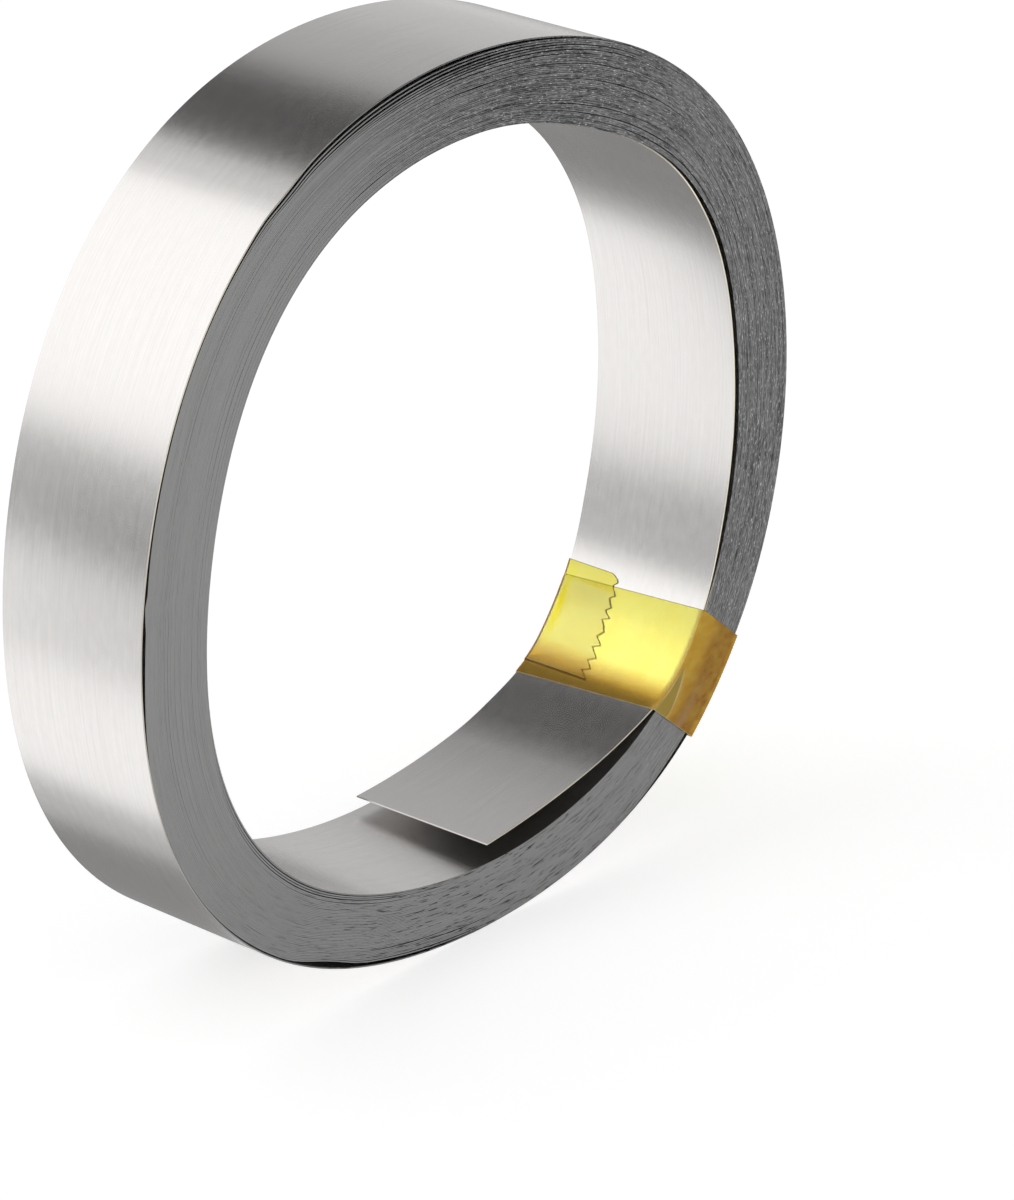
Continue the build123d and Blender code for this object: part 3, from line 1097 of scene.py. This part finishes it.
def pale_floor():
    """A floor that takes a soft shadow, and glows for the rays that should see plain white."""
    material = bpy.data.materials.new("pale_floor")
    material.use_nodes = True
    nodes, links = material.node_tree.nodes, material.node_tree.links
    nodes.clear()
    diffuse = nodes.new("ShaderNodeBsdfDiffuse")
    diffuse.inputs["Color"].default_value = floor_grey
    glow = nodes.new("ShaderNodeEmission")
    strength = nodes.new("ShaderNodeMath")
    strength.operation = "MULTIPLY"
    strength.inputs[1].default_value = floor_glow
    links.new(seen_directly(nodes, links), strength.inputs[0])
    links.new(strength.outputs["Value"], glow.inputs["Strength"])
    both = nodes.new("ShaderNodeAddShader")
    links.new(diffuse.outputs[0], both.inputs[0])
    links.new(glow.outputs[0], both.inputs[1])
    output = nodes.new("ShaderNodeOutputMaterial")
    links.new(both.outputs[0], output.inputs["Surface"])
    return material


floor_mesh.materials.append(pale_floor())

world = bpy.data.worlds.new("surround")
bpy.context.scene.world = world
world.use_nodes = True
world_nodes, world_links = world.node_tree.nodes, world.node_tree.links
background = world_nodes["Background"]
background.inputs["Color"].default_value = (1, 1, 1, 1)
level = world_nodes.new("ShaderNodeMapRange")
level.inputs["To Min"].default_value = surround_level
level.inputs["To Max"].default_value = surround_level_seen
world_links.new(seen_directly(world_nodes, world_links), level.inputs["Value"])
world_links.new(level.outputs["Result"], background.inputs["Strength"])
print("floor and world are in place")

# %% [markdown]
# ## Lamps and cards
#
# Bare metal shows its surroundings, so lighting it is mostly a matter of what stands round it. The
# ring's faces all look the same way along the axis, so what a spot shows depends only on its angle:
# each band in the photograph is one card, at twice the spot's angle, seen both in the outer face and,
# half a turn further, in the bore. The cards bend round the coil's axis, and only reflections see them.

# %% Softboxes
coil_middle = Vector((0, 0, centre_height))


def ring_direction(angle, lean):
    """A direction at an angle round the axis, as on the coil, that leans towards the far end."""
    round_axis, off_plane = radians(angle), radians(lean)
    return Vector((cos(round_axis) * cos(off_plane), sin(off_plane), sin(round_axis) * cos(off_plane)))


def softbox(name, angle, lean, distance, length, width, radiance):
    """A soft lamp that faces the coil, its long side along the ring, with its brightness as seen."""
    lamp = bpy.data.lights.new(name, "AREA")
    lamp.shape = "RECTANGLE"
    lamp.size, lamp.size_y = length, width
    lamp.energy = radiance * np.pi * length * width
    lamp_object = placed(name, lamp)
    back = ring_direction(angle, lean)
    along = ring_direction(angle + 90, 0)
    facing = Matrix((along, back.cross(along), back)).transposed().to_4x4()
    lamp_object.matrix_world = Matrix.Translation(coil_middle + back * distance) @ facing
    lamp_object.visible_camera = False
    print(name, "is", distance, "m from the coil")


softbox("softbox_behind", angle=132.0, lean=37.6, distance=0.9, length=0.96, width=0.62, radiance=0.42)
softbox("softbox_front", angle=200, lean=-50, distance=0.5, length=0.25, width=0.25, radiance=1.5)


# %% What a card is
def glow_material(name, brightness):
    """A surface that glows evenly and grey, with its brightness as seen."""
    material = bpy.data.materials.new(name)
    material.use_nodes = True
    nodes, links = material.node_tree.nodes, material.node_tree.links
    nodes.clear()
    glow = nodes.new("ShaderNodeEmission")
    glow.inputs["Color"].default_value = (brightness, brightness, brightness, 1)
    output = nodes.new("ShaderNodeOutputMaterial")
    links.new(glow.outputs[0], output.inputs["Surface"])
    return material


def card(name, verts, faces, brightness):
    """A glowing card that only reflections show."""
    mesh = bpy.data.meshes.new(name)
    mesh.from_pydata(verts, [], faces)
    mesh.materials.append(glow_material(name, brightness))
    card_object = placed(name, mesh)
    card_object.visible_camera = False
    card_object.visible_diffuse = False
    card_object.visible_shadow = False
    print(name, "has brightness", brightness)


# %% Curved cards
card_radius, card_reach, card_columns = 1.2, 1.8, 13


def curved_card(name, first, last, brightness):
    """A card bent round the coil's axis between two angles."""
    verts = []
    for angle in np.linspace(first, last, card_columns):
        rim = coil_middle + ring_direction(float(angle), 0) * card_radius
        verts += [(rim.x, -card_reach, rim.z), (rim.x, card_reach, rim.z)]
    faces = [(2 * k, 2 * k + 1, 2 * k + 3, 2 * k + 2) for k in range(card_columns - 1)]
    card(name, verts, faces, brightness)


curved_card("grey_card_low", first=-1, last=26, brightness=0.66)
curved_card("grey_card_high", first=26, last=58, brightness=0.54)
curved_card("dark_card", first=53, last=93, brightness=0.06)
curved_card("horizon_card", first=170, last=181, brightness=0.44)

# %% [markdown]
# ### A card for the tape alone
#
# The tape in the photograph is as bright as clear film on bare metal can be, brighter than the large
# lamp behind the coil makes it. More lamp would bleach the outer face, which mirrors the same side of
# the room. But a card close behind the bore is seen from under the tape at other slopes than from the
# outer face, so it stands only where the metal under the tape looks.

# %% Tape card
tape_card_distance = 0.085
tape_card_leans = (27, 37, 47, 57)
tape_card_columns = 9
under_tape = coil_middle + ring_direction(-39.0, 0) * 0.0325


def card_for_tape(name, first, last, brightness):
    """A card on a ball round the spot under the tape, between two angles."""
    verts = []
    for angle in np.linspace(first, last, tape_card_columns):
        for lean in tape_card_leans:
            verts.append(tuple(under_tape + ring_direction(float(angle), lean) * tape_card_distance))
    faces = []
    row = len(tape_card_leans)
    for k in range(tape_card_columns - 1):
        for j in range(row - 1):
            a = k * row + j
            faces.append((a, a + 1, a + 1 + row, a + row))
    card(name, verts, faces, brightness)


card_for_tape("tape_card", first=111, last=143, brightness=2.3)

# %% [markdown]
# ### Cards on the floor
#
# The lower half of the coil mirrors the floor behind it: pale to the left, with a haze in it and a dark
# stretch far off, and to the right the coil's own shadow, painted as a grey card for its soft edge and a
# darker one inside. Flat cards lie there, each at its own height where they overlap, so that no two share
# a place.

# %% Floor cards
floor_cards = {
    "floor_card_pale": (1.25, 0.2 * mm, [(-0.60, 0.009), (0.03, 0.009), (0.03, 0.50), (-0.60, 0.50)]),
    "floor_card_haze": (0.84, 0.3 * mm, [(-0.09, 0.015), (-0.09, 0.066), (-0.30, 0.23), (-0.30, 0.015)]),
    "floor_card_far": (0.03, 0.4 * mm, [
        (-0.24, 0.015), (-0.24, 0.20), (-0.60, 0.57), (-2.6, 2.45), (-2.6, 0.015)]),
    # Painted shadow of the coil on the floor: a grey card for its soft edge and a darker one inside.
    "floor_card_painted_penumbra": (0.6, 0.4 * mm, [
        (-0.045, 0.002), (0.5, 0.002), (0.5, 0.6), (0.11, 0.22),
        (0.011, 0.055), (0.0075, 0.034), (-0.045, 0.034)]),
    "floor_card_painted_shadow": (0.29, 0.5 * mm, [
        (-0.037, 0.001), (0.5, 0.001), (0.5, 0.5), (0.12, 0.20),
        (0.020, 0.055), (0.018, 0.032), (-0.035, 0.032)]),
}
for name, (brightness, height, outline) in floor_cards.items():
    card(name, [(x, y, height) for x, y in outline], [tuple(range(len(outline)))], brightness)

# %% [markdown]
# ## Finish
#
# The render keeps Blender's plain view transform, so that a colour shows as it is written.

# %% Finish
bpy.context.scene.view_settings.view_transform = "Standard"
